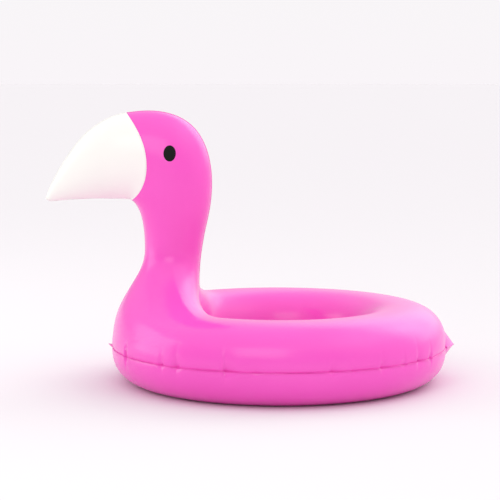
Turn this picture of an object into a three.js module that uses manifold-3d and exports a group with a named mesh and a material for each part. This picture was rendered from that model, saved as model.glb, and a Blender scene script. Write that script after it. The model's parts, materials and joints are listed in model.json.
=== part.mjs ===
// An inflatable flamingo swim ring, in millimetres, +Z up, the bird facing -X.
// Every inflated form is a pair of thin welded panels. A whole ring carries a neck and head, which are
// an air chamber of their own, and each of the two chambers is filled through a push-in valve.
import * as THREE from "three";
import { mergeVertices } from "three/addons/utils/BufferGeometryUtils.js";
import Module from "manifold-3d";

const wasm = await Module();
wasm.setup();

// ---------- driving dimensions ----------

const SKIN = 0.4; // thickness of the PVC sheet
const GAP = 0.3; // play between pieces that are welded or that touch
const FLANGE = 2; // width of the flat lip where two panels are welded together
const TOUCH = 0.01; // how far pieces of one moulding reach into each other before they are joined

const RING_RADIUS = 300; // the inflated ring's outer radius, at its seam
const TUBE_HALF_WIDTH = 79;
const TUBE_HEIGHT = 74; // of the upper panel over the seam, and
const TUBE_DEPTH = 66; // of the lower panel under it
const TUBE_POWER = 0.82; // 1 is an ellipse, and less is squarer
const SEAM_HEIGHT = 64; // less than the lower panel's depth, so that the ring stands on a flat band
const TUBE_CENTRE_RADIUS = RING_RADIUS - TUBE_HALF_WIDTH;

// The foot of the neck: a loop on the ring's upper panel, in angles along the ring and round its tube.
const FOOT_RISE = 1.6; // how far the foot's skin stands over the ring's true form, which facets cut short
const FOOT_SPREAD = 1.02; // how far each side of the loop runs along the ring from the front
const FOOT_SQUARE = 0.7; // 1 is an ellipse, and less is squarer
const FOOT_MIDDLE = 1.48; // the loop's middle, round the tube from its outer seam
const FOOT_REACH = 1.4; // from there to the loop's front and back ends
const FOOT_PULL = 2; // how long the neck's skin follows the ring before it turns up, at the breast
const BACK_PULL = 0.65; // and from the sides to the back
const FOOT_CURL = 0.3; // how much of the ring's own bend it starts with
const BACK_CLIMB = 0.1; // how little the back of the skin turns over the wall of the ring's hole
const WAIST_PULL = 120; // how long it keeps the waist's direction on its way down

// Sections of the neck, head and beak: their ends on the front or under line and on the back or top
// line (x from the ring's axis, and z), and half the thickness across.
const SECTIONS = [
  { front: [-240, 240], back: [-138.5, 236], half: 50 }, // waist of the neck
  { front: [-241.5, 271], back: [-132.5, 270], half: 52 },
  { front: [-249, 305], back: [-124, 308], half: 56 }, // throat
  { front: [-260, 322], back: [-119.8, 352], half: 59 },
  { front: [-264, 325], back: [-124, 398], half: 60 }, // nape
  { front: [-265, 326], back: [-142, 443], half: 59 },
  { front: [-267, 326], back: [-177, 473], half: 57 }, // crown
  { front: [-271, 326.5], back: [-222, 484], half: 54 },
  { front: [-279, 327], back: [-262, 482], half: 51 }, // forehead
  { front: [-297, 327.5], back: [-299, 473.5], half: 46 },
  { front: [-325, 327.5], back: [-340, 448.5], half: 38 }, // middle of the beak
  { front: [-358, 326.5], back: [-372, 412], half: 27.5 },
  { front: [-389, 324.5], back: [-397, 373], half: 17 },
  { front: [-409, 323], back: [-412.5, 342], half: 8 },
  { front: [-417, 328], back: [-417, 328], half: 0 }, // tip
];
const FOOT = -1; // the neck's foot and the beak's tip, as places along the list of sections
const TIP = SECTIONS.length - 1;
const BEAK_EDGE = 6.5; // where the white panels begin, at the middle of the side
const BEAK_EDGE_SLANT = 1.75; // how much further on they begin above, and further back below
const BEAK_EDGE_CURL = 0.85; // how much further back still, down to the throat

const EYE = { x: -192.7, z: 410.3, halfLength: 10.6, halfHeight: 13.8 };
const TAIL = { halfWidth: 38, halfHeight: 31, length: 14 };

const RING_VALVE = { along: THREE.MathUtils.degToRad(-110), round: THREE.MathUtils.degToRad(38) };
const NECK_VALVE = { x: -188, z: 258 };
const VALVE = {
  discRadius: 18, // the welded disc
  discThickness: 0.6,
  holeRadius: 8.6, // through the panel
  discHoleRadius: 9.2, // through the disc
  wallRadius: 8.3, // the socket's outside
  chamberRadius: 7.5, // the wide bore that the stem's collar runs in
  neckRadius: 5.75, // the narrow bore at the socket's mouth
  neckDepth: 2,
  socketDepth: 17,
  lipRadius: 10,
  lipTop: 1.7,
  stemRadius: 5.4,
  boreRadius: 3.5, // the air way
  collarRadius: 7.1,
  collarHeight: 1.5,
  rimTop: 3.6, // the stem's mouth while it is pushed in
  plugLength: 5,
  plugTopRadius: 3.1,
  plugTipRadius: 2.2,
  capThickness: 1.4,
  hingeReach: 9, // from the stem's axis to the cap's living hinge
  hingeHalfWidth: 1.8,
  flapRadius: 4.6,
  flapThickness: 0.5,
};

const RING_STEPS = 48; // round the ring
const TUBE_STEPS = 12; // over one panel of the tube
const SIDE_STEPS = 24; // over one side of the neck, head or beak
const FOOT_STEPS = 8;
const NECK_STEPS = 12;
const BEAK_STEPS = 8;
const VALVE_STEPS = 18; // round the valve's turned pieces

const vinyl = (color) => new THREE.MeshStandardMaterial({ color, roughness: 0.38, metalness: 0 });
const PINK = vinyl(0xf25cc2);
const WHITE = vinyl(0xf7f4ec);
const BLACK = vinyl(0x17120f);
const CLEAR = new THREE.MeshStandardMaterial({ color: 0xf4dbe9, roughness: 0.25, metalness: 0 });

// ---------- meshes and solids ----------

const isArea = ([a, b, c]) => a !== b && b !== c && c !== a;

// A closed geometry with shared corners merged and collapsed triangles left out.
function welded(geometry) {
  const bare = new THREE.BufferGeometry();
  bare.setAttribute("position", geometry.getAttribute("position"));
  bare.setIndex(geometry.index);
  const merged = mergeVertices(bare, 1e-4);
  const index = [];
  for (let i = 0; i < merged.index.count; i += 3) {
    const corners = [0, 1, 2].map((k) => merged.index.getX(i + k));
    if (isArea(corners)) index.push(...corners);
  }
  merged.setIndex(index);
  return merged;
}

function solidOf(geometry) {
  const closed = welded(geometry);
  const mesh = new wasm.Mesh({
    numProp: 3,
    vertProperties: new Float32Array(closed.getAttribute("position").array),
    triVerts: new Uint32Array(closed.index.array),
  });
  return new wasm.Manifold(mesh);
}

function geometryOf(solid) {
  const mesh = solid.getMesh();
  const geometry = new THREE.BufferGeometry();
  geometry.setAttribute("position", new THREE.BufferAttribute(mesh.vertProperties, 3));
  geometry.setIndex(new THREE.BufferAttribute(mesh.triVerts, 1));
  return geometry;
}

const joined = (a, b) => geometryOf(solidOf(a).add(solidOf(b)));
const cut = (a, b) => geometryOf(solidOf(a).subtract(solidOf(b)));

// A solid turned about Z from a closed outline of [radius, z] points.
function turned(outline, steps) {
  const points = [...outline, outline[0]].map(([r, z]) => new THREE.Vector2(r, z));
  return new THREE.LatheGeometry(points, steps).rotateX(Math.PI / 2);
}

function block(low, high) {
  const [x, y, z] = high.map((h, k) => h - low[k]);
  return new THREE.BoxGeometry(x, y, z).translate(
    ...high.map((h, k) => (h + low[k]) / 2),
  );
}

// The sheet between two grids of points, outer[row][column] and inner[row][column], with its rims.
// Seen from outside, columns run to the right as rows run up. A ring closes on its first column.
function sheetBetween(outer, inner, isRing = false) {
  const positions = [];
  const quad = (a, b, c, d) => {
    for (const p of [a, b, c, a, c, d]) positions.push(p.x, p.y, p.z);
  };
  const rows = outer.length - 1;
  const columns = outer[0].length - 1;
  for (let i = 0; i < rows; i++) {
    for (let j = 0; j < columns; j++) {
      quad(outer[i][j], outer[i][j + 1], outer[i + 1][j + 1], outer[i + 1][j]);
      quad(inner[i][j + 1], inner[i][j], inner[i + 1][j], inner[i + 1][j + 1]);
    }
    if (!isRing) {
      quad(inner[i][0], outer[i][0], outer[i + 1][0], inner[i + 1][0]);
      quad(outer[i][columns], inner[i][columns], inner[i + 1][columns], outer[i + 1][columns]);
    }
  }
  for (let j = 0; j < columns; j++) {
    quad(outer[0][j + 1], outer[0][j], inner[0][j], inner[0][j + 1]);
    quad(outer[rows][j], outer[rows][j + 1], inner[rows][j + 1], inner[rows][j]);
  }
  const geometry = new THREE.BufferGeometry();
  geometry.setAttribute("position", new THREE.Float32BufferAttribute(positions, 3));
  return welded(geometry);
}

// The same sheet on the other side of the midplane.
function mirrored(geometry) {
  const other = geometry.clone().scale(1, -1, 1);
  const index = other.index.array;
  for (let i = 0; i < index.length; i += 3) [index[i + 1], index[i + 2]] = [index[i + 2], index[i + 1]];
  return other;
}

// ---------- the ring ----------

const power = (x) => Math.sign(x) * Math.abs(x) ** TUBE_POWER;

// [radius, z] of the ring's skin at an angle round the tube: 0 is the outer seam and pi/2 the top.
function tubeOutline(angle, inset = 0) {
  const radius = TUBE_CENTRE_RADIUS + (TUBE_HALF_WIDTH - inset) * power(Math.cos(angle));
  const reach = angle < 0 ? TUBE_DEPTH : TUBE_HEIGHT;
  const z = SEAM_HEIGHT + (reach - inset) * power(Math.sin(angle));
  return [radius, Math.max(inset, z)];
}

// A point of the ring's skin. The angle along the ring starts at the bird's front and grows towards -Y.
function ringPoint(along, round) {
  const [radius, z] = tubeOutline(round);
  return new THREE.Vector3(-radius * Math.cos(along), -radius * Math.sin(along), z);
}

function ringNormal(along, round) {
  const step = 1e-3;
  const forward = ringPoint(along + step, round).sub(ringPoint(along - step, round));
  const up = ringPoint(along, round + step).sub(ringPoint(along, round - step));
  return forward.cross(up).normalize();
}

// The same point, or the nearest one that stands clear of the ring's skin.
function clearOfRing(point, clearance) {
  const radius = Math.hypot(point.x, point.y);
  const u = (radius - TUBE_CENTRE_RADIUS) / (TUBE_HALF_WIDTH + clearance);
  const w = (point.z - SEAM_HEIGHT) / (TUBE_HEIGHT + clearance);
  const level = Math.abs(u) ** (2 / TUBE_POWER) + Math.abs(w) ** (2 / TUBE_POWER);
  if (level >= 1) return point;
  const grow = level ** (-TUBE_POWER / 2);
  const wider = (TUBE_CENTRE_RADIUS + u * grow * (TUBE_HALF_WIDTH + clearance)) / radius;
  const z = SEAM_HEIGHT + w * grow * (TUBE_HEIGHT + clearance);
  return new THREE.Vector3(point.x * wider, point.y * wider, z);
}

// One panel of the ring, with its welding lips: side is 1 for the upper panel and -1 for the lower.
function ringPanel(side) {
  const lipInside = SEAM_HEIGHT + (side * GAP) / 2;
  const lipOutside = lipInside + side * SKIN;
  const arc = (inset, edge) =>
    Array.from({ length: TUBE_STEPS + 1 }, (_, i) => {
      const [radius, z] = tubeOutline((side * Math.PI * i) / TUBE_STEPS, inset);
      const isEdge = i === 0 || i === TUBE_STEPS;
      return [radius, isEdge ? edge : z];
    });
  const innerRadius = TUBE_CENTRE_RADIUS - TUBE_HALF_WIDTH;
  const outline = [
    [RING_RADIUS + FLANGE, lipInside],
    [RING_RADIUS + FLANGE, lipOutside],
    ...arc(0, lipOutside),
    [innerRadius - FLANGE, lipOutside],
    [innerRadius - FLANGE, lipInside],
    ...arc(SKIN, lipInside).reverse(),
  ];
  return turned(side > 0 ? outline : outline.reverse(), RING_STEPS);
}

// ---------- the neck, head and beak ----------

const lineThrough = (key) => new THREE.SplineCurve(SECTIONS.map((s) => new THREE.Vector2(...s[key])));
const frontLine = lineThrough("front");
const backLine = lineThrough("back");
const halfLine = new THREE.SplineCurve(SECTIONS.map((s, i) => new THREE.Vector2(i, s.half)));

// The skin above the waist: place runs along the sections, and round goes from the front line, 0, over
// the bird's left side to the back line, pi.
function upperSkin(place, round) {
  const t = THREE.MathUtils.clamp(place / TIP, 0, 1);
  const front = frontLine.getPoint(t);
  const back = backLine.getPoint(t);
  const middle = front.clone().add(back).multiplyScalar(0.5);
  const reach = front.sub(middle).multiplyScalar(Math.cos(round));
  const half = halfLine.getPoint(t).y;
  return new THREE.Vector3(middle.x + reach.x, -half * Math.sin(round), middle.y + reach.y);
}

// The skin between the foot and the waist. It leaves the ring along the ring's own surface, and comes
// to the waist along the neck. up is 0 at the foot and 1 at the waist.
function footSkin(up, round) {
  const step = 1e-3;
  const down = Math.cos(round);
  const along = FOOT_SPREAD * Math.max(Math.sin(round), 1e-9) ** FOOT_SQUARE;
  const tube = FOOT_MIDDLE - FOOT_REACH * down;
  const climb = (FOOT_MIDDLE - tube) * (down > 0 ? 1 : 1 + (1 - BACK_CLIMB) * down);
  const pull = THREE.MathUtils.lerp(BACK_PULL, FOOT_PULL, Math.max(down, 0));
  const onRing = (share) => ringPoint(along * (1 - share), tube + share * climb);
  const [before, start, after] = [-step, 0, step].map(onRing);
  const leave = after.clone().sub(before).multiplyScalar(pull / (2 * step));
  const curl = after.add(before).addScaledVector(start, -2).multiplyScalar((FOOT_CURL * pull ** 2) / step ** 2);
  const end = upperSkin(0, round);
  const arrive = upperSkin(step, round).sub(end).setLength(WAIST_PULL);
  const [t2, t3, t4, t5] = [2, 3, 4, 5].map((power) => up ** power);
  const point = new THREE.Vector3()
    .addScaledVector(start, 1 - 10 * t3 + 15 * t4 - 6 * t5)
    .addScaledVector(leave, up - 6 * t3 + 8 * t4 - 3 * t5)
    .addScaledVector(curl, (t2 - 3 * t3 + 3 * t4 - t5) / 2)
    .addScaledVector(end, 10 * t3 - 15 * t4 + 6 * t5)
    .addScaledVector(arrive, 7 * t4 - 4 * t3 - 3 * t5);
  return clearOfRing(point, FOOT_RISE);
}

const birdSkin = (place, round) => (place < 0 ? footSkin(place - FOOT, round) : upperSkin(place, round));

function birdNormal(place, round) {
  const step = 1e-3;
  if (place > TIP - step) return new THREE.Vector3(-1, 0, 0);
  const from = Math.max(place - step, FOOT);
  const along = birdSkin(place + step, round).sub(birdSkin(from, round));
  const across = birdSkin(place, round + step).sub(birdSkin(place, round - step));
  return across.cross(along).normalize();
}

// The angle round a section for a share of its side, with the steps closest near the midplane.
function roundAt(share) {
  const crowding = 0.75;
  return Math.PI * share - (crowding / 2) * Math.sin(2 * Math.PI * share);
}

// One side's panel between two places along the bird, each given for an angle round the section. Its
// edges on the midplane end in flat lips, which are welded to the other side's and meet at the tip.
function sidePanel(placeAt, rows) {
  const outer = [];
  const inner = [];
  const lipInside = -GAP / 2;
  const lipOutside = lipInside - SKIN;
  for (let i = 0; i <= rows; i++) {
    const outerRow = [];
    const innerRow = [];
    for (let j = 0; j <= SIDE_STEPS; j++) {
      const round = roundAt(j / SIDE_STEPS);
      const place = placeAt(i / rows, round);
      const point = birdSkin(place, round);
      const normal = birdNormal(place, round);
      const under = point.clone().addScaledVector(normal, -SKIN);
      point.y = Math.min(point.y, lipOutside);
      under.y = Math.min(under.y, lipInside);
      const lip = point.clone().addScaledVector(normal.setY(0).normalize(), FLANGE);
      const lipPoints = [lip.clone().setY(lipOutside), lip.clone().setY(lipInside)];
      const points = [place === TIP ? lipPoints : [point, under]];
      if (j === 0) points.unshift(lipPoints);
      if (j === SIDE_STEPS) points.push(lipPoints);
      outerRow.push(...points.map((pair) => pair[0]));
      innerRow.push(...points.map((pair) => pair[1]));
    }
    outer.push(outerRow);
    inner.push(innerRow);
  }
  return sheetBetween(outer, inner);
}

function beakEdge(round) {
  const down = Math.cos(round);
  return BEAK_EDGE - BEAK_EDGE_SLANT * down - BEAK_EDGE_CURL * Math.max(down, 0) ** 2;
}

const EDGE_PLAY = 0.02; // the play between pink and white, as a place along the sections

function neckPanel() {
  const rows = FOOT_STEPS + NECK_STEPS;
  return sidePanel((t, round) => {
    const row = Math.round(t * rows);
    if (row <= FOOT_STEPS) return FOOT + row / FOOT_STEPS;
    return ((row - FOOT_STEPS) / NECK_STEPS) * (beakEdge(round) - EDGE_PLAY);
  }, rows);
}

const beakPanel = () =>
  sidePanel((t, round) => THREE.MathUtils.lerp(beakEdge(round) + EDGE_PLAY, TIP, t), BEAK_STEPS);

// The place along the bird and the angle round it where its left side has a given x and z.
function onLeftSide(x, z) {
  const step = 1e-3;
  let [place, round] = [5, Math.PI / 2];
  if (z < SECTIONS[2].front[1]) place = 0.5;
  for (let i = 0; i < 12; i++) {
    const at = birdSkin(place, round);
    const p = birdSkin(place + step, round).sub(at).divideScalar(step);
    const q = birdSkin(place, round + step).sub(at).divideScalar(step);
    const size = p.x * q.z - p.z * q.x;
    place += ((x - at.x) * q.z - (z - at.z) * q.x) / size;
    round += ((z - at.z) * p.x - (x - at.x) * p.z) / size;
  }
  return [place, round];
}

const birdFrame = (x, z) => {
  const at = onLeftSide(x, z);
  return { point: birdSkin(...at), normal: birdNormal(...at) };
};

// A thin oval or ring that follows a surface. frameAt gives the surface's point and normal for places
// across and along it, and the sheet lies between two heights over the surface.
function surfacePatch(frameAt, radii, innerShare, low, high, steps) {
  const rows = 2;
  const grids = [high, low].map((height) =>
    Array.from({ length: rows + 1 }, (_, i) =>
      Array.from({ length: steps + 1 }, (_, j) => {
        const share = THREE.MathUtils.lerp(innerShare, 1, i / rows);
        const turn = (-2 * Math.PI * (j % steps)) / steps;
        const { point, normal } = frameAt(radii[0] * share * Math.cos(turn), radii[1] * share * Math.sin(turn));
        return point.clone().addScaledVector(normal, height);
      }),
    ),
  );
  return sheetBetween(...grids, true);
}

const eye = () =>
  surfacePatch(
    (across, up) => birdFrame(EYE.x + across, EYE.z + up),
    [EYE.halfLength, EYE.halfHeight],
    0,
    GAP,
    GAP + SKIN,
    20,
  );

// ---------- the tail ----------

// One panel of the pointed tail, side 1 above the ring's seam and -1 below. Its base stands on the
// ring's skin, and rises over the ring's welding lip at its two corners.
function tailPanel(side) {
  const rows = 4;
  const columns = 12;
  const grids = [0, -SKIN].map((inset) =>
    Array.from({ length: rows + 1 }, (_, i) =>
      Array.from({ length: columns + 1 }, (_, j) => {
        const turn = (Math.PI * j) / columns;
        const y = (TAIL.halfWidth + inset) * Math.cos(turn);
        const rise = (TAIL.halfHeight + inset) * Math.sin(turn);
        const bulge = Math.sin((Math.PI / 2) * (1 - i / rows));
        const corner = Math.abs(Math.cos(turn)) ** 6;
        const stand = SKIN + GAP + (FLANGE + GAP) * corner;
        const reach = side < 0 ? TUBE_DEPTH : TUBE_HEIGHT;
        const round = side * Math.asin(Math.min(1, (rise / reach) ** (1 / TUBE_POWER)));
        const [wall] = tubeOutline(round);
        const base = Math.sqrt(wall * wall - y * y) + stand;
        const point = Math.max(0, 1 - Math.abs(y) / TAIL.halfWidth);
        const ridge = Math.sqrt(RING_RADIUS ** 2 - y * y) + stand + FLANGE + TAIL.length * point;
        const x = THREE.MathUtils.lerp(ridge, base, bulge ** 1.4) + inset;
        const z = SEAM_HEIGHT + side * (GAP / 2 + SKIN + inset + rise * bulge);
        return new THREE.Vector3(x, -side * y, z);
      }),
    ),
  );
  return sheetBetween(...grids.map((grid) => grid.map((row) => row.reverse())));
}

// ---------- the valves ----------
// Each valve is drawn with its mouth up, from the outside of the panel that it sits in.

function valveSocket() {
  const v = VALVE;
  return turned(
    [
      [v.neckRadius, -v.neckDepth],
      [v.chamberRadius, -v.neckDepth],
      [v.chamberRadius, -v.socketDepth],
      [v.wallRadius, -v.socketDepth],
      [v.wallRadius, v.lipTop - SKIN],
      [v.lipRadius, v.lipTop - SKIN],
      [v.lipRadius, v.lipTop],
      [v.neckRadius, v.lipTop],
    ],
    VALVE_STEPS,
  );
}

const STEM_BOTTOM = -VALVE.socketDepth - GAP;

// The tube that slides in the socket, with the collar that stops it and the ear of the cap's hinge.
function valveStem() {
  const v = VALVE;
  const tube = turned(
    [
      [v.boreRadius, STEM_BOTTOM],
      [v.collarRadius, STEM_BOTTOM],
      [v.collarRadius, STEM_BOTTOM + v.collarHeight],
      [v.stemRadius, STEM_BOTTOM + v.collarHeight],
      [v.stemRadius, v.rimTop],
      [v.boreRadius, v.rimTop],
    ],
    VALVE_STEPS,
  );
  const ear = block(
    [v.stemRadius - 1, -v.hingeHalfWidth, v.lipTop + GAP],
    [v.hingeReach - GAP, v.hingeHalfWidth, v.rimTop],
  );
  return joined(tube, ear);
}

const CAP_UNDER = VALVE.rimTop + GAP;

// The stopper: a tapered plug under a disc, with a strap to the hinge and a tab to pull it by.
function valveCap() {
  const v = VALVE;
  const top = CAP_UNDER + v.capThickness;
  const plug = turned(
    [
      [0, v.rimTop - v.plugLength],
      [v.plugTipRadius, v.rimTop - v.plugLength],
      [v.plugTopRadius, CAP_UNDER],
      [v.stemRadius, CAP_UNDER],
      [v.stemRadius, top],
      [0, top],
    ],
    VALVE_STEPS,
  );
  const strap = block(
    [v.stemRadius - 1, -v.hingeHalfWidth, CAP_UNDER],
    [v.hingeReach + GAP, v.hingeHalfWidth, top - TOUCH],
  );
  const tab = block(
    [-v.stemRadius - 2.5, -v.hingeHalfWidth - 0.6, CAP_UNDER + TOUCH],
    [-v.stemRadius + 1, v.hingeHalfWidth + 0.6, top - GAP],
  );
  return joined(joined(plug, strap), tab);
}

// The one-way flap that closes the stem's inner end.
function valveFlap() {
  const v = VALVE;
  const top = STEM_BOTTOM - GAP;
  const disc = turned(
    [
      [0, top - v.flapThickness],
      [v.flapRadius, top - v.flapThickness],
      [v.flapRadius, top],
      [0, top],
    ],
    VALVE_STEPS,
  );
  const tongue = block(
    [v.flapRadius - 1, -v.hingeHalfWidth, top - v.flapThickness + TOUCH],
    [v.flapRadius + 1.2, v.hingeHalfWidth, top - TOUCH],
  );
  return joined(disc, tongue);
}

function frameMatrix(point, mouth, strap) {
  const z = mouth.clone().normalize();
  const y = z.clone().cross(strap).normalize();
  const x = y.clone().cross(z);
  return new THREE.Matrix4().makeBasis(x, y, z).setPosition(point);
}

// Where a valve sits: the matrix that carries it there, and the panel's surface round it.
const ringValvePoint = ringPoint(RING_VALVE.along, RING_VALVE.round);
const ringValveNormal = ringNormal(RING_VALVE.along, RING_VALVE.round);
const ringValveStep = 1e-3;
const ringValveRun = ringPoint(RING_VALVE.along + ringValveStep, RING_VALVE.round).sub(ringValvePoint);
const ringValveClimb = ringPoint(RING_VALVE.along, RING_VALVE.round + ringValveStep).sub(ringValvePoint);
const ringValvePlace = {
  matrix: frameMatrix(ringValvePoint, ringValveNormal, ringValveRun),
  frameAt(across, up) {
    const along = RING_VALVE.along + (across * ringValveStep) / ringValveRun.length();
    const round = RING_VALVE.round + (up * ringValveStep) / ringValveClimb.length();
    return { point: ringPoint(along, round), normal: ringNormal(along, round) };
  },
};

const rightSide = (vector) => vector.clone().setY(-vector.y);
const neckValvePlace = {
  matrix: frameMatrix(
    rightSide(birdFrame(NECK_VALVE.x, NECK_VALVE.z).point),
    rightSide(birdFrame(NECK_VALVE.x, NECK_VALVE.z).normal),
    new THREE.Vector3(0, 0, 1),
  ),
  frameAt(across, up) {
    const { point, normal } = birdFrame(NECK_VALVE.x - across, NECK_VALVE.z + up);
    return { point: rightSide(point), normal: rightSide(normal) };
  },
};

const valveDisc = (place) =>
  surfacePatch(
    place.frameAt,
    [VALVE.discRadius, VALVE.discRadius],
    VALVE.discHoleRadius / VALVE.discRadius,
    GAP,
    GAP + VALVE.discThickness,
    VALVE_STEPS,
  );

// The panel with the valve's hole through it.
function withHole(panel, place) {
  const depth = 12;
  const drill = new THREE.CylinderGeometry(VALVE.holeRadius, VALVE.holeRadius, depth, VALVE_STEPS);
  return cut(panel, drill.rotateX(Math.PI / 2).applyMatrix4(place.matrix));
}

// ---------- the assembly ----------

const assembly = new THREE.Group();

function add(name, geometry, material, matrix = new THREE.Matrix4()) {
  const mesh = new THREE.Mesh(geometry, material);
  mesh.name = name;
  mesh.applyMatrix4(matrix);
  assembly.add(mesh);
}

function addValve(prefix, place) {
  add(prefix + "_valve_disc", valveDisc(place), CLEAR);
  add(prefix + "_valve_socket", valveSocket(), CLEAR, place.matrix);
  add(prefix + "_valve_stem", valveStem(), CLEAR, place.matrix);
  add(prefix + "_valve_cap", valveCap(), CLEAR, place.matrix);
  add(prefix + "_valve_flap", valveFlap(), CLEAR, place.matrix);
}

const leftNeck = neckPanel();
const leftBeak = beakPanel();
const leftEye = eye();

add("ring_upper_panel", withHole(ringPanel(1), ringValvePlace), PINK);
add("ring_lower_panel", ringPanel(-1), PINK);
add("neck_left_panel", leftNeck, PINK);
add("neck_right_panel", withHole(mirrored(leftNeck), neckValvePlace), PINK);
add("beak_left_panel", leftBeak, WHITE);
add("beak_right_panel", mirrored(leftBeak), WHITE);
add("eye_left", leftEye, BLACK);
add("eye_right", mirrored(leftEye), BLACK);
add("tail_upper_panel", tailPanel(1), PINK);
add("tail_lower_panel", tailPanel(-1), PINK);
addValve("ring", ringValvePlace);
addValve("neck", neckValvePlace);

// The origin is under the middle of the whole float, on the surface that it stands on.
const box = new THREE.Box3().setFromObject(assembly);
assembly.position.x = -(box.min.x + box.max.x) / 2;

const float = new THREE.Group();
float.add(assembly);
export default float;
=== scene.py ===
"""An inflatable bird-shaped swim ring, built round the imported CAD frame, in metres.

The skins are drawn as smooth grids of points from the same sections as the CAD panels, with the welds,
their narrow lips and the puckers beside them, and the valves are turned and joined afresh.
"""

import json
import math
import random

import bmesh
import bpy
import numpy as np
from mathutils import Matrix, Vector
from mathutils.bvhtree import BVHTree


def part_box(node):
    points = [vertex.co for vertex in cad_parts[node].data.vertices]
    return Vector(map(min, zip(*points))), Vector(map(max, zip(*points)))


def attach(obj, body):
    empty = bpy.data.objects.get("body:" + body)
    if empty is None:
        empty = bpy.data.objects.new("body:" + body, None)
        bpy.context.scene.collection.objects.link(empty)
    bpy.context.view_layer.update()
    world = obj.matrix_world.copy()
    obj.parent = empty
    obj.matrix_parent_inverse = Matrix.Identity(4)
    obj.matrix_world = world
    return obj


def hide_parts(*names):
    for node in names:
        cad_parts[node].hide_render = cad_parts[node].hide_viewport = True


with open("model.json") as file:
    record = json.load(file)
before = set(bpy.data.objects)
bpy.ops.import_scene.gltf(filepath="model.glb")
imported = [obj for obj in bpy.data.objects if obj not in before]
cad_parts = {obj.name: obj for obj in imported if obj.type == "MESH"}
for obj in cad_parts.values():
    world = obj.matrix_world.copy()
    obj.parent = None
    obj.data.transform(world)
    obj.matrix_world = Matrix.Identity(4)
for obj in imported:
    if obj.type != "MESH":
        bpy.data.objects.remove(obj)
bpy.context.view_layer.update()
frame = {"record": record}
scene = bpy.context.scene
MM = 0.001

# ---------- driving dimensions ----------

ring_low, ring_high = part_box("ring_upper_panel")
floor_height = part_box("ring_lower_panel")[0].z
FLANGE = 2 * MM  # width of the welded lip
SKIN = 0.4 * MM
HALF_WELD = 0.6 * SKIN  # how far each sheet lies from the middle of a weld
RING_X = (ring_low.x + ring_high.x) / 2  # the ring's axis
RING_RADIUS = (ring_high.x - ring_low.x) / 2 - FLANGE
TUBE_HALF_WIDTH = 79 * MM
TUBE_HEIGHT = 74 * MM  # of the upper panel over the weld, and
TUBE_DEPTH = 66 * MM  # of the lower panel under it
TUBE_POWER = 0.82  # 1 is an ellipse, and less is squarer
SEAM_HEIGHT = 64 * MM
TUBE_CENTRE_RADIUS = RING_RADIUS - TUBE_HALF_WIDTH

PINCH = 1.7 * MM  # how far the skins are drawn in where they are welded
PINCH_REACH = 3.5 * MM
NECK_PINCH = 0.6 * PINCH
NECK_FLANGE = 0.7 * FLANGE

# The foot of the neck, in angles along the ring and round its tube.
FOOT_SPREAD = 1.02  # how far each side of the loop runs along the ring from the front
FOOT_SQUARE = 0.7  # 1 is an ellipse, and less is squarer
FOOT_MIDDLE = 1.48  # the loop's middle round the tube, and
FOOT_REACH = 1.4  # how far it runs from there to the breast and to the back
FOOT_PULL = 2.0  # how long the skin follows the ring before it turns up, at the breast
BACK_PULL = 0.65  # and from the sides to the back
FOOT_CURL = 0.3  # how much of the ring's own bend it starts with
BACK_CLIMB = 0.1  # the back of the neck goes straight up the wall of the hole
FOOT_HEM = 0.05  # how far the skin goes on over the ring, past the loop
HEM_RISE = 0.15 * MM  # the skin lies this far over the ring, and its edge sinks into the weld
HEM_SINK = 0.5 * MM
WAIST_PULL = 120 * MM  # how long the skin follows the neck's own line below the waist
SMOOTHING_PASSES = 30

# Sections of the neck, head and beak, in mm from the ring's axis: the ends on the front or under line
# and on the back or top line (x, z), and half the thickness across.
SECTIONS = [
    ((-240, 240), (-138.5, 236), 50),
    ((-241.5, 271), (-132.5, 270), 52),
    ((-249, 305), (-124, 308), 56),
    ((-260, 322), (-119.8, 352), 59),
    ((-264, 325), (-124, 398), 60),
    ((-265, 326), (-142, 443), 59),
    ((-267, 326), (-177, 473), 57),
    ((-271, 326.5), (-222, 484), 54),
    ((-279, 327), (-262, 482), 51),
    ((-297, 327.5), (-299, 473.5), 46),
    ((-325, 327.5), (-340, 448.5), 38),
    ((-358, 326.5), (-372, 412), 27.5),
    ((-389, 324.5), (-397, 373), 17),
    ((-409, 323), (-412.5, 342), 8),
    ((-417, 328), (-417, 328), 0),
]
FOOT = -1  # the foot and the beak's tip, as places along the sections
TIP = len(SECTIONS) - 1
BEAK_EDGE = 6.5  # where the white panels begin, at the middle of the side
BEAK_EDGE_SLANT = 1.75
BEAK_EDGE_CURL = 0.85

# The puckers along the ring's outer weld: angle along the ring from its front, in degrees, strength, and how
# far the dent runs back and on along the weld, in mm. Chance places the rest.
PUCKERS = [
    (27, 2.3, 4, 6),
    (48, 0.9, 7, 5),
    (54, 1.5, 7, 12),
    (71.5, 1.6, 3, 20),
    (82, 0.5, 10, 10),
    (106, 0.9, 5, 12),
    (113, 0.5, 4, 7),
    (124, 1.1, 4, 15),
    (134, 0.6, 9, 4),
    (141, 1.2, 3, 16),
    (150, 1.0, 10, 3),
]
PUCKERED = (20, 155)  # the stretch that they cover, in degrees
PUCKER_SPACING = (6, 15)  # of the others, in degrees
PUCKER_CLEAR = 12  # between the last of those and the first of the list
TAIL_CLEAR = 14  # each side of the tail, in degrees
PUCKER_DEPTH = 5.5 * MM  # at a strength of 1
PUCKER_LENGTH = 9 * MM  # how far up from the weld it reaches
PUCKER_UNDER = 0.6  # how far it reaches under the weld, against over it
SHOULDER = 0.35  # how much the skin swells beside a dent, against the dent's depth, and
SHOULDER_WIDTH = 2.2  # over how many times its width
WELD_WAVE = 0.6 * MM
WAVE_TURN = 5.1  # gives each pucker a rise or dip of its own
WAVE_REACH = 6 * MM  # how far up the skin the wave is felt
LIP_WAVE = 0.3  # how much more the lip's edge waves
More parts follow.
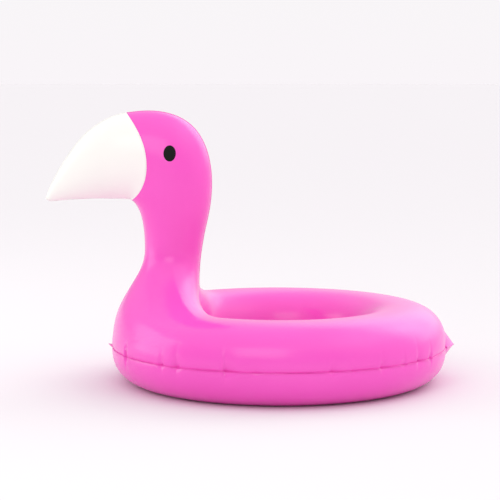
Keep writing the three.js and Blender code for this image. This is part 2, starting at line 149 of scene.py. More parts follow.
FRONT_TUCK = {"along": math.radians(2.5), "width": math.radians(1.8), "out": 6 * MM, "up": 3 * MM}


def chance_puckers():
    """Puckers for the rest of the ring, clear of the tail."""
    chance = random.Random(5)
    found = []
    angle = PUCKERED[1]
    while angle < PUCKERED[0] + 360 - PUCKER_CLEAR:
        angle += chance.uniform(*PUCKER_SPACING)
        if abs(angle - 180) > TAIL_CLEAR:
            found.append((angle, chance.uniform(0.4, 1.3), chance.uniform(3, 12), chance.uniform(3, 16)))
    return found


PUCKERS += chance_puckers()

TAIL_HALF_WIDTH = 38 * MM
TAIL_HALF_HEIGHT = 31 * MM
TAIL_LENGTH = 14 * MM
TAIL_SINK = 2 * MM
TAIL_HOLLOW = 0.95  # over 1 the tail bulges, and under 1 it is hollow

# The valves, each drawn with its mouth up, as radii and heights from the panel's surface.
VALVE = {
    "disc": 18 * MM,
    "disc_hole": 9.2 * MM,
    "wall": 8.3 * MM,
    "chamber": 7.5 * MM,
    "neck": 5.75 * MM,
    "neck_depth": 2 * MM,
    "depth": 17 * MM,
    "lip": 10 * MM,
    "lip_top": 1.7 * MM,
    "lip_thickness": 0.9 * MM,
    "stem": 5.4 * MM,
    "bore": 3.5 * MM,
    "collar": 7.1 * MM,
    "collar_height": 1.5 * MM,
    "rim_top": 3.6 * MM,
    "plug_length": 5 * MM,
    "plug_top": 3.1 * MM,
    "plug_tip": 2.2 * MM,
    "cap": 1.4 * MM,
    "dish_edge": 0.7,  # the cap's dish begins at this share of the stem's radius, and
    "dish": 0.62,  # is flat inside this one
    "dish_depth": 0.4 * MM,
    "strap_drop": 0.2 * MM,
    "tab_length": 2.5 * MM,
    "tab_flare": 0.6 * MM,
    "hinge_reach": 9 * MM,
    "hinge_half": 1.8 * MM,
    "flap": 4.6 * MM,
    "flap_thickness": 0.5 * MM,
    "flap_root": 1.2 * MM,
}
BITE = 1 * MM  # how far a strap or root runs into the round piece that it is part of
GAP = 0.3 * MM
EDGE = 0.35 * MM  # the rounding of the valves' edges
ROUNDING_PASSES = 2
SKIN_HOLE = 12.5 * MM  # the skins are open this far round a valve's axis, under its disc

DISC_RINGS = 6  # that the welding tool leaves in the disc
DISC_THICKNESS = 0.75 * MM
DISC_RELIEF = 0.12 * MM  # how far the rings rise and fall
DISC_EDGE_SLOPE = 12  # how fast the disc thins at its rim, and
DISC_EDGE = 0.35  # the share of its thickness that is left there

EYE_INK = 0.3 * MM  # how far the printed oval stands off the skin
EYE_EDGE_POWER = 8  # higher keeps it that thick nearer to its edge
EYE_CENTRE = 0.01  # where the oval's grid begins, as a share of its radii
EYE_OUT = 60 * MM  # of the eye's own frame from the midplane
PRINT_THICKNESS = 0.8 * SKIN

CAST_FROM = 40 * MM  # where the rays that lay a round on a sheet begin
TURN_STEPS = 64
TAIL_STEPS = 24
RING_STEPS = 900
TUBE_STEPS = 56
TUBE_CROWDING = 1.6  # over 1 the steps crowd towards the welds
SIDE_STEPS = 72
SIDE_TURNS = np.linspace(0, math.pi, SIDE_STEPS + 1)
NECK_STEPS = 200
FOOT_SHARE = 0.32  # the share of those that are below the waist
BEAK_STEPS = 60
BEAK_CROWDING = 1.3  # over 1 they crowd towards the tip

# ---------- meshes ----------

surfaces = {}  # each sheet's whole surface, to cast rays at


def grid_piece(name, points, closed=False, thickness=SKIN, hole=None):
    """A sheet from points[row][column], smooth but for its folds, and closed on its first column if asked.

    It is left open round the point given as hole.
    """
    rows, columns = points.shape[:2]
    corners = points.reshape(-1, 3).tolist()
    faces = []
    last = columns if closed else columns - 1
    for i in range(rows - 1):
        for j in range(last):
            k = (j + 1) % columns
            faces.append((i * columns + j, i * columns + k, (i + 1) * columns + k, (i + 1) * columns + j))
    surfaces[name] = BVHTree.FromPolygons(corners, faces)
    if hole is not None:
        faces = [face for face in faces if math.dist(corners[face[0]], hole) > SKIN_HOLE]
    mesh = bpy.data.meshes.new(name)
    mesh.from_pydata(corners, [], faces)
    mesh.shade_smooth()
    mesh.set_sharp_from_angle(angle=math.radians(50))
    piece = bpy.data.objects.new(name, mesh)
    scene.collection.objects.link(piece)
    if thickness:
        shell = piece.modifiers.new("thickness", "SOLIDIFY")
        shell.thickness = thickness
        shell.offset = -1
    return piece


def power(x):
    return np.sign(x) * np.abs(x) ** TUBE_POWER


def spline(values, places):
    """A natural cubic spline through values at 0, 1, 2 ..., taken at the places given."""
    values = np.asarray(values, float)
    count = len(values)
    system = np.eye(count)
    right = np.zeros(count)
    for i in range(1, count - 1):
        system[i, i - 1 : i + 2] = 1, 4, 1
        right[i] = 6 * (values[i - 1] - 2 * values[i] + values[i + 1])
    bend = np.linalg.solve(system, right)
    i = np.clip(np.floor(places).astype(int), 0, count - 2)
    a = places - i
    b = 1 - a
    return (
        b * values[i] + a * values[i + 1]
        + ((b**3 - b) * bend[i] + (a**3 - a) * bend[i + 1]) / 6
    )


# ---------- the ring ----------


def ring_outline(turn):
    """Radius and height of the tube's skin at an angle round it: 0 is the outer weld and pi/2 the top."""
    radius = TUBE_CENTRE_RADIUS + TUBE_HALF_WIDTH * power(np.cos(turn))
    reach = np.where(np.sin(turn) < 0, TUBE_DEPTH, TUBE_HEIGHT)
    height = SEAM_HEIGHT + reach * power(np.sin(turn))
    return radius, np.maximum(height, floor_height)


def ring_point(along, turn):
    radius, height = ring_outline(turn)
    return np.stack([RING_X - radius * np.cos(along), -radius * np.sin(along), height + 0 * along], -1)


def angle_from(start, along):
    """How far along the ring places are from a start, between -pi and pi."""
    return (along - start + math.pi) % (2 * math.pi) - math.pi


def pucker_depth(along, height):
    """How far the skin is drawn in beside the outer weld."""
    depth = np.zeros(np.broadcast(along, height).shape)
    for angle, strength, before, after in PUCKERS:
        across = angle_from(math.radians(angle), along) * RING_RADIUS / MM
        width = np.where(across < 0, before, after)
        share = np.abs(across) / width
        dent = np.exp(-(share**1.5)) - SHOULDER * np.exp(-((share / SHOULDER_WIDTH) ** 2))
        reach = PUCKER_LENGTH * (0.7 + 0.4 * strength) * (0.45 + 0.55 * np.exp(-(share**2)))
        reach = np.where(height < 0, PUCKER_UNDER, 1) * reach
        depth += strength * dent * np.exp(-np.abs(height) / reach)
    return PUCKER_DEPTH * depth


def drawn_to_weld(points):
    """The points near the ring's outer weld drawn in towards it, in puckers."""
    x, y = points[..., 0] - RING_X, points[..., 1]
    over_weld = points[..., 2] - SEAM_HEIGHT
    radius = np.hypot(x, y)
    along = np.arctan2(-y, -x)
    inwards = PINCH * np.exp(-np.abs(over_weld) / PINCH_REACH) + pucker_depth(along, over_weld)
    share = np.where(radius > TUBE_CENTRE_RADIUS, 1 - inwards / radius, 1)
    return np.stack([x * share + RING_X, y * share, points[..., 2]], -1)


def weld_wave(along):
    """How far the outer weld rises and dips where it is puckered."""
    wave = np.zeros_like(along)
    for angle, strength, before, after in PUCKERS:
        across = angle_from(math.radians(angle), along) * RING_RADIUS / MM
        bump = np.exp(-((across / (before + after)) ** 2))
        wave += strength * math.sin(WAVE_TURN * angle) * bump
    return WELD_WAVE * wave


def ring_panel(name, side):
    """The ring's upper sheet, for side 1, or its lower one, for -1, from weld to weld with their lips."""
    share = np.linspace(0, 1, TUBE_STEPS // 2 + 1)
    quarter = math.pi / 2 * share**TUBE_CROWDING
    turns = np.concatenate([quarter, math.pi - quarter[-2::-1]])
    along = np.linspace(0, 2 * math.pi, RING_STEPS, endpoint=False)
    turn, theta = np.meshgrid(side * turns, along, indexing="ij")
    points = drawn_to_weld(ring_point(theta, turn))
    height = points[..., 2]
    over_weld = np.abs(height - SEAM_HEIGHT)
    inner = turn * side > math.pi / 2
    wave = weld_wave(along)
    points[..., 2] += side * HALF_WELD * np.exp(-over_weld / MM)
    points[..., 2] += ~inner * wave * np.exp(-over_weld / WAVE_REACH)
    pull = np.where(inner, PINCH * np.exp(-over_weld / PINCH_REACH), 0)
    points[..., 0] -= pull * np.cos(theta)
    points[..., 1] -= pull * np.sin(theta)
    tuck = np.exp(-((angle_from(FRONT_TUCK["along"], along) / FRONT_TUCK["width"]) ** 2))
    width = FLANGE + FRONT_TUCK["out"] * tuck
    outer_lip = points[0] - np.stack([width * np.cos(along), width * np.sin(along), -LIP_WAVE * wave], -1)
    outer_lip[:, 2] += FRONT_TUCK["up"] * tuck
    inner_lip = points[-1] + FLANGE * np.stack([np.cos(along), np.sin(along), 0 * along], -1)
    points = np.concatenate([outer_lip[None], points, inner_lip[None]])
    if side < 0:
        points = points[::-1]
    hole = valve_places["ring"].translation if side > 0 else None
    return grid_piece(name, points, closed=True, hole=hole)


# ---------- the neck, head and beak ----------


def section_at(places):
    """The front and back ends of the sections at the places given, as [x, z], and half their thickness."""
    front = [spline([s[0][k] for s in SECTIONS], places) * MM for k in (0, 1)]
    back = [spline([s[1][k] for s in SECTIONS], places) * MM for k in (0, 1)]
    half = np.maximum(spline([s[2] for s in SECTIONS], places), 0) * MM
    return front, back, half


def upper_skin(places, turn):
    """The skin from the waist to the beak's tip. turn is 0 at the front or under line and pi at the back."""
    front, back, half = section_at(np.clip(places, 0, TIP))
    middle = [(f + b) / 2 for f, b in zip(front, back)]
    x = middle[0] + (front[0] - middle[0]) * np.cos(turn) + RING_X
    z = middle[1] + (front[1] - middle[1]) * np.cos(turn)
    return np.stack([x, -half * np.sin(turn), z], -1)


def unit(vectors):
    return vectors / np.maximum(np.linalg.norm(vectors, axis=-1, keepdims=True), 1e-12)


def foot_skin(up, turn):
    """The skin from the foot, at 0, to the waist, at 1. Below 0 it lies on the ring."""
    step = 1e-3
    along = FOOT_SPREAD * np.maximum(np.sin(turn), 1e-9) ** FOOT_SQUARE
    tube = FOOT_MIDDLE - FOOT_REACH * np.cos(turn)
    climb = np.where(np.cos(turn) > 0, 1, 1 + (1 - BACK_CLIMB) * np.cos(turn))
    pull = BACK_PULL + (FOOT_PULL - BACK_PULL) * np.maximum(np.cos(turn), 0)[..., None]

    def on_ring(share):
        return ring_point(along * (1 - share), tube + share * (FOOT_MIDDLE - tube) * climb)

    start = on_ring(0)
    leave = (on_ring(step) - on_ring(-step)) / (2 * step) * pull
    curl = (on_ring(step) - 2 * start + on_ring(-step)) / step**2 * FOOT_CURL * pull**2
    end = upper_skin(np.zeros_like(turn), turn)
    arrive = unit(upper_skin(np.full_like(turn, step), turn) - end) * WAIST_PULL
    t = np.clip(up, 0, 1)[..., None]
    skin = (
        start * (1 - 10 * t**3 + 15 * t**4 - 6 * t**5)
        + leave * (t - 6 * t**3 + 8 * t**4 - 3 * t**5)
        + curl * (t**2 - 3 * t**3 + 3 * t**4 - t**5) / 2
        + end * (10 * t**3 - 15 * t**4 + 6 * t**5)
        + arrive * (7 * t**4 - 4 * t**3 - 3 * t**5)
    )
    return np.where((up < 0)[..., None], on_ring(up), skin)


def clear_of_ring(points, clearance):
    """The points that would be in the ring, or nearer to it than the clearance, moved out of it."""
    x, y, z = points[..., 0] - RING_X, points[..., 1], points[..., 2]
    radius = np.hypot(x, y)
    u = (radius - TUBE_CENTRE_RADIUS) / (TUBE_HALF_WIDTH + clearance)
    w = (z - SEAM_HEIGHT) / (TUBE_HEIGHT + clearance)
    level = np.abs(u) ** (2 / TUBE_POWER) + np.abs(w) ** (2 / TUBE_POWER)
    grow = np.maximum(np.maximum(level, 1e-9) ** (-TUBE_POWER / 2), 1)
    wider = (TUBE_CENTRE_RADIUS + u * grow * (TUBE_HALF_WIDTH + clearance)) / radius
    height = SEAM_HEIGHT + w * grow * (TUBE_HEIGHT + clearance)
    moved = np.stack([x * wider + RING_X, y * wider, height], -1)
    return np.where((level < 1)[..., None], moved, points)


def bird_skin(places, turn):
    """The whole skin of neck, head and beak. Its hem sinks into the weld on the ring."""
    up = places - FOOT
    low = clear_of_ring(foot_skin(up, turn), HEM_RISE)
    sink = np.clip(-up / FOOT_HEM, 0, 1)[..., None] * HEM_SINK
    ring_middle = unit(low * (1, 1, 0) - (RING_X, 0, 0)) * TUBE_CENTRE_RADIUS + (RING_X, 0, SEAM_HEIGHT)
    low = low - unit(low - ring_middle) * sink
    high = upper_skin(places, turn)
    return np.where((places < 0)[..., None], low, high)


def with_weld(points, side):
    """The grid drawn in along the midplane, with the welded lip added to its first and last columns."""
    depth = np.abs(points[..., 1])
    centre = (points[:, :1] + points[:, -1:]) / 2
    outward = points - centre
    outward[..., 1] = 0
    outward = unit(outward)
    drawn = points - outward * (NECK_PINCH * np.exp(-depth / PINCH_REACH))[..., None]
    drawn[..., 1] = side * np.maximum(np.abs(drawn[..., 1]), HALF_WELD)
    first, last = drawn[:, :1] + outward[:, :1] * NECK_FLANGE, drawn[:, -1:] + outward[:, -1:] * NECK_FLANGE
    return np.concatenate([first, drawn, last], axis=1)


def smoothed(points):
    """The grid with each row but the first and last drawn towards its neighbours, over and over."""
    for _ in range(SMOOTHING_PASSES):
        points[1:-1] = (points[:-2] + 2 * points[1:-1] + points[2:]) / 4
    return points


def beak_edge(turn):
    """Where the white begins, as a place along the sections."""
    down = np.cos(turn)
    return BEAK_EDGE - BEAK_EDGE_SLANT * down - BEAK_EDGE_CURL * np.maximum(down, 0) ** 2


def neck_panel(name, side):
    """The neck and head's left side, for side -1, or right, for 1, from the foot's hem to the beak's edge."""
    share = np.linspace(-FOOT_SHARE * FOOT_HEM, 1, NECK_STEPS + 1)
    up, turn = np.meshgrid(share, SIDE_TURNS, indexing="ij")
    low = FOOT + up / FOOT_SHARE
    high = (up - FOOT_SHARE) / (1 - FOOT_SHARE) * beak_edge(turn)
    places = np.where(up < FOOT_SHARE, low, high)
    points = drawn_to_weld(smoothed(bird_skin(places, turn)))
    points[..., 1] *= -side
    points = with_weld(points, side)
    if side > 0:
        points = points[:, ::-1]
    hole = valve_places["neck"].translation if side > 0 else None
    return grid_piece(name, points, hole=hole)


def beak_panel(name, side):
    """A side of the beak, from its edge to the tip."""
    share = 1 - (1 - np.linspace(0, 1, BEAK_STEPS + 1)) ** BEAK_CROWDING
    up, turn = np.meshgrid(share, SIDE_TURNS, indexing="ij")
    places = beak_edge(turn) + (TIP - beak_edge(turn)) * up
    points = bird_skin(places, turn)
    points[..., 1] *= -side
    points = with_weld(points, side)
    if side > 0:
        points = points[:, ::-1]
    return grid_piece(name, points)


# ---------- the tail ----------


def tail_panel(name, side):
    """Half of the pointed tail: from its base on the ring out to its own welded ridge."""
    outs = np.linspace(0, 1, TAIL_STEPS + 1)
    turns = np.linspace(0, math.pi, 3 * TAIL_STEPS + 1)
    out, turn = np.meshgrid(outs, turns, indexing="ij")
    y = TAIL_HALF_WIDTH * np.cos(turn)
    rise = TAIL_HALF_HEIGHT * np.sin(turn)
    bulge = np.sin(math.pi / 2 * (1 - out))
    reach = TUBE_DEPTH if side < 0 else TUBE_HEIGHT
    around = np.arcsin(np.minimum(1, (rise / reach) ** (1 / TUBE_POWER)))
    wall, _ = ring_outline(side * around)
    base = np.sqrt(wall**2 - y**2) - TAIL_SINK
    point = 1 - np.abs(y) / TAIL_HALF_WIDTH
    ridge = np.sqrt(RING_RADIUS**2 - y**2) + FLANGE + TAIL_LENGTH * point
    x = ridge + (base - ridge) * bulge**TAIL_HOLLOW
    z = SEAM_HEIGHT + side * (HALF_WELD + rise * bulge)
    points = np.stack([RING_X + x, side * y, z], -1)
    lip = points[-1] + (FLANGE / 2, 0, 0)
    return grid_piece(name, np.concatenate([points, lip[None]]))


# ---------- printed and welded rounds, and turned pieces ----------


def patch(name, sheet, place, radii, inner, height_at, rows=12):
    """An oval or ring that lies on a sheet. place carries the local frame, whose Z points away from it."""
    outwards = place.to_3x3() @ Vector((0, 0, 1))
    points = np.zeros((rows + 1, TURN_STEPS, 3))
    for i in range(rows + 1):
        share = inner + (1 - inner) * i / rows
        for j in range(TURN_STEPS):
            turn = 2 * math.pi * j / TURN_STEPS
            across = radii[0] * share * math.cos(turn)
            up = radii[1] * share * math.sin(turn)
            above = place @ Vector((across, up, CAST_FROM))
            hit, normal, _, _ = surfaces[sheet].ray_cast(above, -outwards)
            if normal.dot(outwards) < 0:
                normal = -normal
            points[i, j] = hit + normal * height_at(share)
    return grid_piece(name, points, closed=True, thickness=PRINT_THICKNESS)


def eye_print(side_name, side):
    low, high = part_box(f"eye_{side_name}")
    middle = (low + high) / 2
    turn = Matrix.Rotation(-side * math.pi / 2, 4, "X")
    place = Matrix.Translation((middle.x, side * EYE_OUT, middle.z)) @ turn
    radii = ((high.x - low.x) / 2, (high.z - low.z) / 2)

    def height_at(share):
        return EYE_INK * (1 - share**EYE_EDGE_POWER)

    return patch(f"eye_{side_name}_print", f"neck_{side_name}_skin", place, radii, EYE_CENTRE, height_at)


def turned(profile, place):
    """The points of a closed outline of (radius, height), turned about the local Z."""
    points = np.zeros((len(profile) + 1, TURN_STEPS, 3))
    for i, (radius, height) in enumerate(profile + profile[:1]):
        for j in range(TURN_STEPS):
            turn = 2 * math.pi * j / TURN_STEPS
            points[i, j] = place @ Vector((radius * math.cos(turn), radius * math.sin(turn), height))
    return points


def combined(name, parts):
    """One piece from closed outlines turned about an axis, and blocks."""
    shape = bmesh.new()
    for part in parts:
        if isinstance(part, np.ndarray):
            rows, columns = part.shape[:2]
            corners = [[shape.verts.new(point) for point in row] for row in part[:-1]]
            for i in range(rows - 1):
                for j in range(columns):
                    low, high = corners[i], corners[(i + 1) % (rows - 1)]
                    shape.faces.new((low[j], low[(j + 1) % columns], high[(j + 1) % columns], high[j]))
        else:
            place, low, high = part
            size = high - low
            fit = place @ Matrix.Translation((low + high) / 2) @ Matrix.Diagonal((*size, 1))
            corners = bmesh.ops.create_cube(shape, size=1, matrix=fit)["verts"]
            edges = list({edge for corner in corners for edge in corner.link_edges})
            bmesh.ops.bevel(shape, geom=edges, offset=EDGE, segments=3, affect="EDGES", profile=0.5)
    bmesh.ops.remove_doubles(shape, verts=shape.verts, dist=1e-6)
    bmesh.ops.recalc_face_normals(shape, faces=shape.faces)
    mesh = bpy.data.meshes.new(name)
    shape.to_mesh(mesh)
    shape.free()
    mesh.shade_smooth()
    mesh.set_sharp_from_angle(angle=math.radians(40))
    piece = bpy.data.objects.new(name, mesh)
    scene.collection.objects.link(piece)
    return piece


def rounded(profile):
    """A closed outline of (radius, height) with its corners off the axis cut back twice, to look round."""
    for _ in range(ROUNDING_PASSES):
        cut = []
        for i, (radius, height) in enumerate(profile):
            corner = Vector((radius, height))
            if radius < EDGE / 2:
                cut.append(tuple(corner))
                continue
            for other in (profile[i - 1], profile[(i + 1) % len(profile)]):
                away = Vector(other) - corner
                cut.append(tuple(corner + away.normalized() * min(EDGE * 0.6, away.length / 3)))
        profile = cut
    return profile


# ---------- the valves ----------

joints = {joint["name"]: joint for joint in frame["record"]["behaviour"]["joints"]}


def valve_place(name):
    """The matrix that carries a valve from its own frame, mouth up and strap along X, to its panel."""
    mouth = Vector(joints[f"{name}_stem_slide"]["axis"])
    hinge = Vector(joints[f"{name}_cap_hinge"]["axis"])
    strap = hinge.cross(mouth)
    turn = Matrix((strap, hinge, mouth)).transposed().to_4x4()
    hinge_height = VALVE["rim_top"] + GAP / 2
    hinge_middle = Vector(joints[f"{name}_cap_hinge"]["pos_m"])
    origin = hinge_middle - strap * VALVE["hinge_reach"] - mouth * hinge_height
    return Matrix.Translation(origin) @ turn


def valve_disc(name, place, sheet):
    """The welded flange, with the rings that the welding tool leaves in it."""
    inner = VALVE["disc_hole"] / VALVE["disc"]

    def height_at(share):
        weld = math.sin(2 * math.pi * DISC_RINGS * (share - inner) / (1 - inner))
        return (DISC_THICKNESS + DISC_RELIEF * weld) * min(1, DISC_EDGE_SLOPE * (1 - share) + DISC_EDGE)

    return patch(f"{name}_valve_flange", sheet, place, [VALVE["disc"]] * 2, inner, height_at, rows=40)


def valve_socket(name, place):
    v = VALVE
    wall = [
        (v["neck"], -v["neck_depth"]),
        (v["chamber"], -v["neck_depth"]),
        (v["chamber"], -v["depth"]),
        (v["wall"], -v["depth"]),
        (v["wall"], v["lip_top"] - v["lip_thickness"]),
        (v["lip"], v["lip_top"] - v["lip_thickness"]),
        (v["lip"], v["lip_top"]),
        (v["neck"], v["lip_top"]),
    ]
    return combined(f"{name}_valve_collar", [turned(rounded(wall), place)])


def valve_stem(name, place):
    v = VALVE
    bottom = -v["depth"] - GAP
    tube = [
        (v["bore"], bottom),
        (v["collar"], bottom),
        (v["collar"], bottom + v["collar_height"]),
        (v["stem"], bottom + v["collar_height"]),
        (v["stem"], v["rim_top"]),
        (v["bore"], v["rim_top"]),
    ]
    low = Vector((v["stem"] - BITE, -v["hinge_half"], v["lip_top"] + GAP))
    high = Vector((v["hinge_reach"] - GAP, v["hinge_half"], v["rim_top"]))
    return combined(f"{name}_valve_tube", [turned(rounded(tube), place), (place, low, high)])


def valve_cap(name, place):
    v = VALVE
    under = v["rim_top"] + GAP
    top = under + v["cap"]
    plug = [
        (0, v["rim_top"] - v["plug_length"]),
        (v["plug_tip"], v["rim_top"] - v["plug_length"]),
        (v["plug_top"], under),
        (v["stem"], under),
        (v["stem"], top),
        (v["stem"] * v["dish_edge"], top),
        (v["stem"] * v["dish"], top - v["dish_depth"]),
        (0, top - v["dish_depth"]),
    ]
    strap_low = Vector((v["stem"] - BITE, -v["hinge_half"], under))
    strap_high = Vector((v["hinge_reach"] + GAP, v["hinge_half"], top - v["strap_drop"]))
    tab_low = Vector((-v["stem"] - v["tab_length"], -v["hinge_half"] - v["tab_flare"], under))
    tab_high = Vector((BITE - v["stem"], v["hinge_half"] + v["tab_flare"], top - GAP))
    blocks = [(place, strap_low, strap_high), (place, tab_low, tab_high)]
    return combined(f"{name}_valve_stopper", [turned(rounded(plug), place), *blocks])


def valve_flap(name, place):
    v = VALVE
    top = -v["depth"] - 2 * GAP
    bottom = top - v["flap_thickness"]
    disc = [(0, bottom), (v["flap"], bottom), (v["flap"], top), (0, top)]
    low = Vector((v["flap"] - BITE, -v["hinge_half"], bottom))
    high = Vector((v["flap"] + v["flap_root"], v["hinge_half"], top))
    return combined(f"{name}_valve_tongue", [turned(disc, place), (place, low, high)])


# ---------- pieces ----------

valve_places = {name: valve_place(name) for name in ("ring", "neck")}
ring_upper = ring_panel("ring_upper_skin", 1)
ring_lower = ring_panel("ring_lower_skin", -1)
neck_left = neck_panel("neck_left_skin", -1)
neck_right = neck_panel("neck_right_skin", 1)
beak_left = beak_panel("beak_left_skin", -1)
beak_right = beak_panel("beak_right_skin", 1)
tail_upper = tail_panel("tail_upper_skin", 1)
tail_lower = tail_panel("tail_lower_skin", -1)
eyes = [eye_print("left", -1), eye_print("right", 1)]

valve_pieces = []
for name, sheet in (("ring", "ring_upper_skin"), ("neck", "neck_right_skin")):
    valve_pieces += [
        (valve_disc(name, valve_places[name], sheet), f"{name}_valve_disc", "float"),
        (valve_socket(name, valve_places[name]), f"{name}_valve_socket", "float"),
        (valve_stem(name, valve_places[name]), f"{name}_valve_stem", f"{name}_stem"),
        (valve_cap(name, valve_places[name]), f"{name}_valve_cap", f"{name}_cap"),
        (valve_flap(name, valve_places[name]), f"{name}_valve_flap", f"{name}_flap"),
    ]
for piece, node, body in valve_pieces:
    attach(piece, body)
    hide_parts(node)

for piece, node in [
    (tail_upper, "tail_upper_panel"),
    (tail_lower, "tail_lower_panel"),
    (eyes[0], "eye_left"),
    (eyes[1], "eye_right"),
    (ring_upper, "ring_upper_panel"),
    (ring_lower, "ring_lower_panel"),
    (neck_left, "neck_left_panel"),
    (neck_right, "neck_right_panel"),
    (beak_left, "beak_left_panel"),
    (beak_right, "beak_right_panel"),
]:
    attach(piece, "float")
    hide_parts(node)

# ---------- materials ----------


RELIEF = 0.05
RELIEF_DEPTH = 4 * MM


def noise(tree, coordinates, scale, detail):
    node = tree.nodes.new("ShaderNodeTexNoise")
    node.inputs["Scale"].default_value = scale
    node.inputs["Detail"].default_value = detail
    tree.links.new(coordinates.outputs["Object"], node.inputs["Vector"])
    return node


def vinyl(name, colour, deep, roughness, shine=0.5):
    """Smooth PVC: a colour that drifts towards a deeper one, hazy patches and a faint relief."""
    material = bpy.data.materials.new(name)
    material.use_nodes = True
    tree = material.node_tree
    nodes, links = tree.nodes, tree.links
    shader = nodes["Principled BSDF"]
    coordinates = nodes.new("ShaderNodeTexCoord")
    cloud = noise(tree, coordinates, 9, 3)
    ramp = nodes.new("ShaderNodeValToRGB")
    ramp.color_ramp.elements[0].position = 0.3
    ramp.color_ramp.elements[0].color = (*deep, 1)
    ramp.color_ramp.elements[1].position = 0.7
    ramp.color_ramp.elements[1].color = (*colour, 1)
    links.new(cloud.outputs["Fac"], ramp.inputs["Fac"])
    links.new(ramp.outputs["Color"], shader.inputs["Base Color"])
    haze = noise(tree, coordinates, 60, 4)
    spread = nodes.new("ShaderNodeMapRange")
    spread.inputs["To Min"].default_value = roughness - 0.04
    spread.inputs["To Max"].default_value = roughness + 0.05
    links.new(haze.outputs["Fac"], spread.inputs["Value"])
    links.new(spread.outputs["Result"], shader.inputs["Roughness"])
    grain = noise(tree, coordinates, 35, 2)
    relief = nodes.new("ShaderNodeBump")
    relief.inputs["Strength"].default_value = RELIEF
    relief.inputs["Distance"].default_value = RELIEF_DEPTH
    links.new(grain.outputs["Fac"], relief.inputs["Height"])
    links.new(relief.outputs["Normal"], shader.inputs["Normal"])
    shader.inputs["IOR"].default_value = 1.5
    shader.inputs["Specular IOR Level"].default_value = shine
    return material


pink = vinyl("pink_vinyl", (0.92, 0.092, 0.56), (0.90, 0.084, 0.54), 0.22)
white = vinyl("white_vinyl", (0.94, 0.925, 0.88), (0.92, 0.905, 0.86), 0.25)
black = vinyl("black_print", (0.006, 0.006, 0.005), (0.004, 0.004, 0.004), 0.55, shine=0.15)
clear = vinyl("clear_vinyl", (0.93, 0.62, 0.78), (0.92, 0.58, 0.75), 0.2)


def paint(piece, material):
    piece.data.materials.append(material)


for piece in eyes:
    paint(piece, black)
for piece in (ring_upper, ring_lower, neck_left, neck_right, tail_upper, tail_lower):
    paint(piece, pink)
for piece in (beak_left, beak_right):
    paint(piece, white)
for piece, _, _ in valve_pieces:
    paint(piece, clear)

# ---------- stage, lights and camera ----------

scene.view_settings.view_transform = "Standard"

# The studio's walls and ceiling: grey by height, from the horizon at 0 to straight up at 1.
SKY = [(0, 0.95), (0.06, 0.94), (0.12, 0.6), (0.4, 0.65), (0.7, 1.0), (1, 1.1)]
TINT = (1, 0.96, 0.99)
TINT_TOP = 0.15  # the height that the floor's tint fades out by, above the horizon
FLOOR_GREY = 0.8
FLOOR_REACH = 200  # metres
# Soft windows in the studio: the way to each one's middle, where it fades out, and its strength.
WINDOWS = [((0.55, 0.75, 0.35), 0.76, 1.8), ((0.85, 0, 0.5), 0.6, 0.7)]
WINDOW_FOOT = (0.05, 0.16)  # the heights between which the windows begin


def floor_material():
    material = bpy.data.materials.new("floor")
    material.use_nodes = True
    shader = material.node_tree.nodes["Principled BSDF"]
    shader.inputs["Base Color"].default_value = (*[FLOOR_GREY * tint for tint in TINT], 1)
    shader.inputs["Roughness"].default_value = 1
    shader.inputs["Specular IOR Level"].default_value = 0
    return material


floor_mesh = bpy.data.meshes.new("floor")
floor_mesh.from_pydata(
    [(x * FLOOR_REACH, y * FLOOR_REACH, floor_height) for x, y in ((-1, -1), (1, -1), (1, 1), (-1, 1))],
    [],
    [(0, 1, 2, 3)],
)
floor_mesh.materials.append(floor_material())
floor = bpy.data.objects.new("floor", floor_mesh)
scene.collection.objects.link(floor)

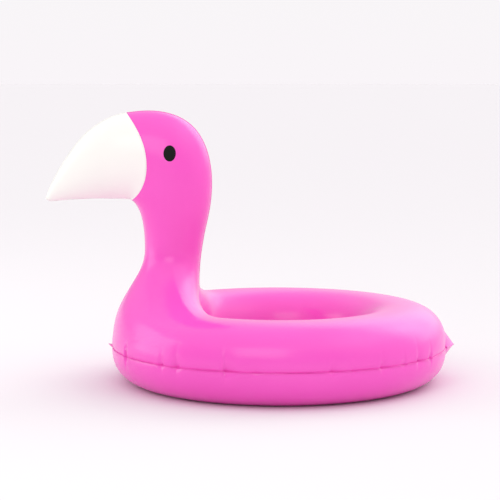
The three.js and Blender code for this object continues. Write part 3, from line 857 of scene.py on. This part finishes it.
world = bpy.data.worlds.new("studio")
scene.world = world
world.use_nodes = True
world_nodes, world_links = world.node_tree.nodes, world.node_tree.links
sky = world_nodes["Background"]
upwards = world_nodes.new("ShaderNodeTexCoord")
split = world_nodes.new("ShaderNodeSeparateXYZ")
shade = world_nodes.new("ShaderNodeValToRGB")
world_links.new(upwards.outputs["Generated"], split.inputs["Vector"])
world_links.new(split.outputs["Z"], shade.inputs["Fac"])
world_links.new(shade.outputs["Color"], sky.inputs["Color"])
shade.color_ramp.elements[0].position = 0
shade.color_ramp.elements[1].position = 1
for height, _ in SKY[1:-1]:
    shade.color_ramp.elements.new(height)
for stop, (height, grey) in zip(shade.color_ramp.elements, SKY):
    fade = max(0, 1 - height / TINT_TOP)
    stop.color = (*[grey * (1 - fade + fade * tint) for tint in TINT], 1)
strength = None
for way, fades_at, extra in WINDOWS:
    towards = world_nodes.new("ShaderNodeVectorMath")
    towards.operation = "DOT_PRODUCT"
    towards.inputs[1].default_value = Vector(way).normalized()
    world_links.new(upwards.outputs["Generated"], towards.inputs[0])
    glow = world_nodes.new("ShaderNodeMapRange")
    glow.interpolation_type = "SMOOTHSTEP"
    glow.inputs["From Min"].default_value = fades_at
    glow.inputs["From Max"].default_value = 1
    glow.inputs["To Min"].default_value = 1
    rise = world_nodes.new("ShaderNodeMapRange")
    rise.inputs["From Min"].default_value, rise.inputs["From Max"].default_value = WINDOW_FOOT
    rise.inputs["To Min"].default_value = 1
    rise.inputs["To Max"].default_value = 1 + extra
    world_links.new(split.outputs["Z"], rise.inputs["Value"])
    world_links.new(rise.outputs["Result"], glow.inputs["To Max"])
    world_links.new(towards.outputs["Value"], glow.inputs["Value"])
    if strength is None:
        strength = glow.outputs["Result"]
    else:
        both = world_nodes.new("ShaderNodeMath")
        both.operation = "MULTIPLY"
        world_links.new(strength, both.inputs[0])
        world_links.new(glow.outputs["Result"], both.inputs[1])
        strength = both.outputs["Value"]
world_links.new(strength, sky.inputs["Strength"])


LIGHT_TARGET = (0, 0, 0.2)


def softbox(name, place, width, height, watts):
    light = bpy.data.lights.new(name, "AREA")
    light.shape = "RECTANGLE"
    light.size = width
    light.size_y = height
    light.energy = watts
    lamp = bpy.data.objects.new(name, light)
    lamp.location = place
    lamp.rotation_euler = (Vector(LIGHT_TARGET) - Vector(place)).to_track_quat("-Z", "Y").to_euler()
    scene.collection.objects.link(lamp)


softbox("front_light", (-0.8, -3.4, 2.0), 2.4, 1.8, 20)
softbox("left_light", (-2.6, 0.2, 0.9), 1.6, 1.8, 14)

# "down" is the camera's tilt in degrees, and "lens" its focal length in mm.
CAMERA = {"x": -0.7 * MM, "y": -2949.8 * MM, "z": 539 * MM, "down": 5.889, "lens": 118.92}
camera_data = bpy.data.cameras.new("camera")
camera_data.lens = CAMERA["lens"]
camera_data.sensor_width = 36
camera = bpy.data.objects.new("camera", camera_data)
camera.location = (CAMERA["x"], CAMERA["y"], CAMERA["z"])
camera.rotation_euler = (math.radians(90 - CAMERA["down"]), 0, 0)
scene.collection.objects.link(camera)
scene.camera = camera
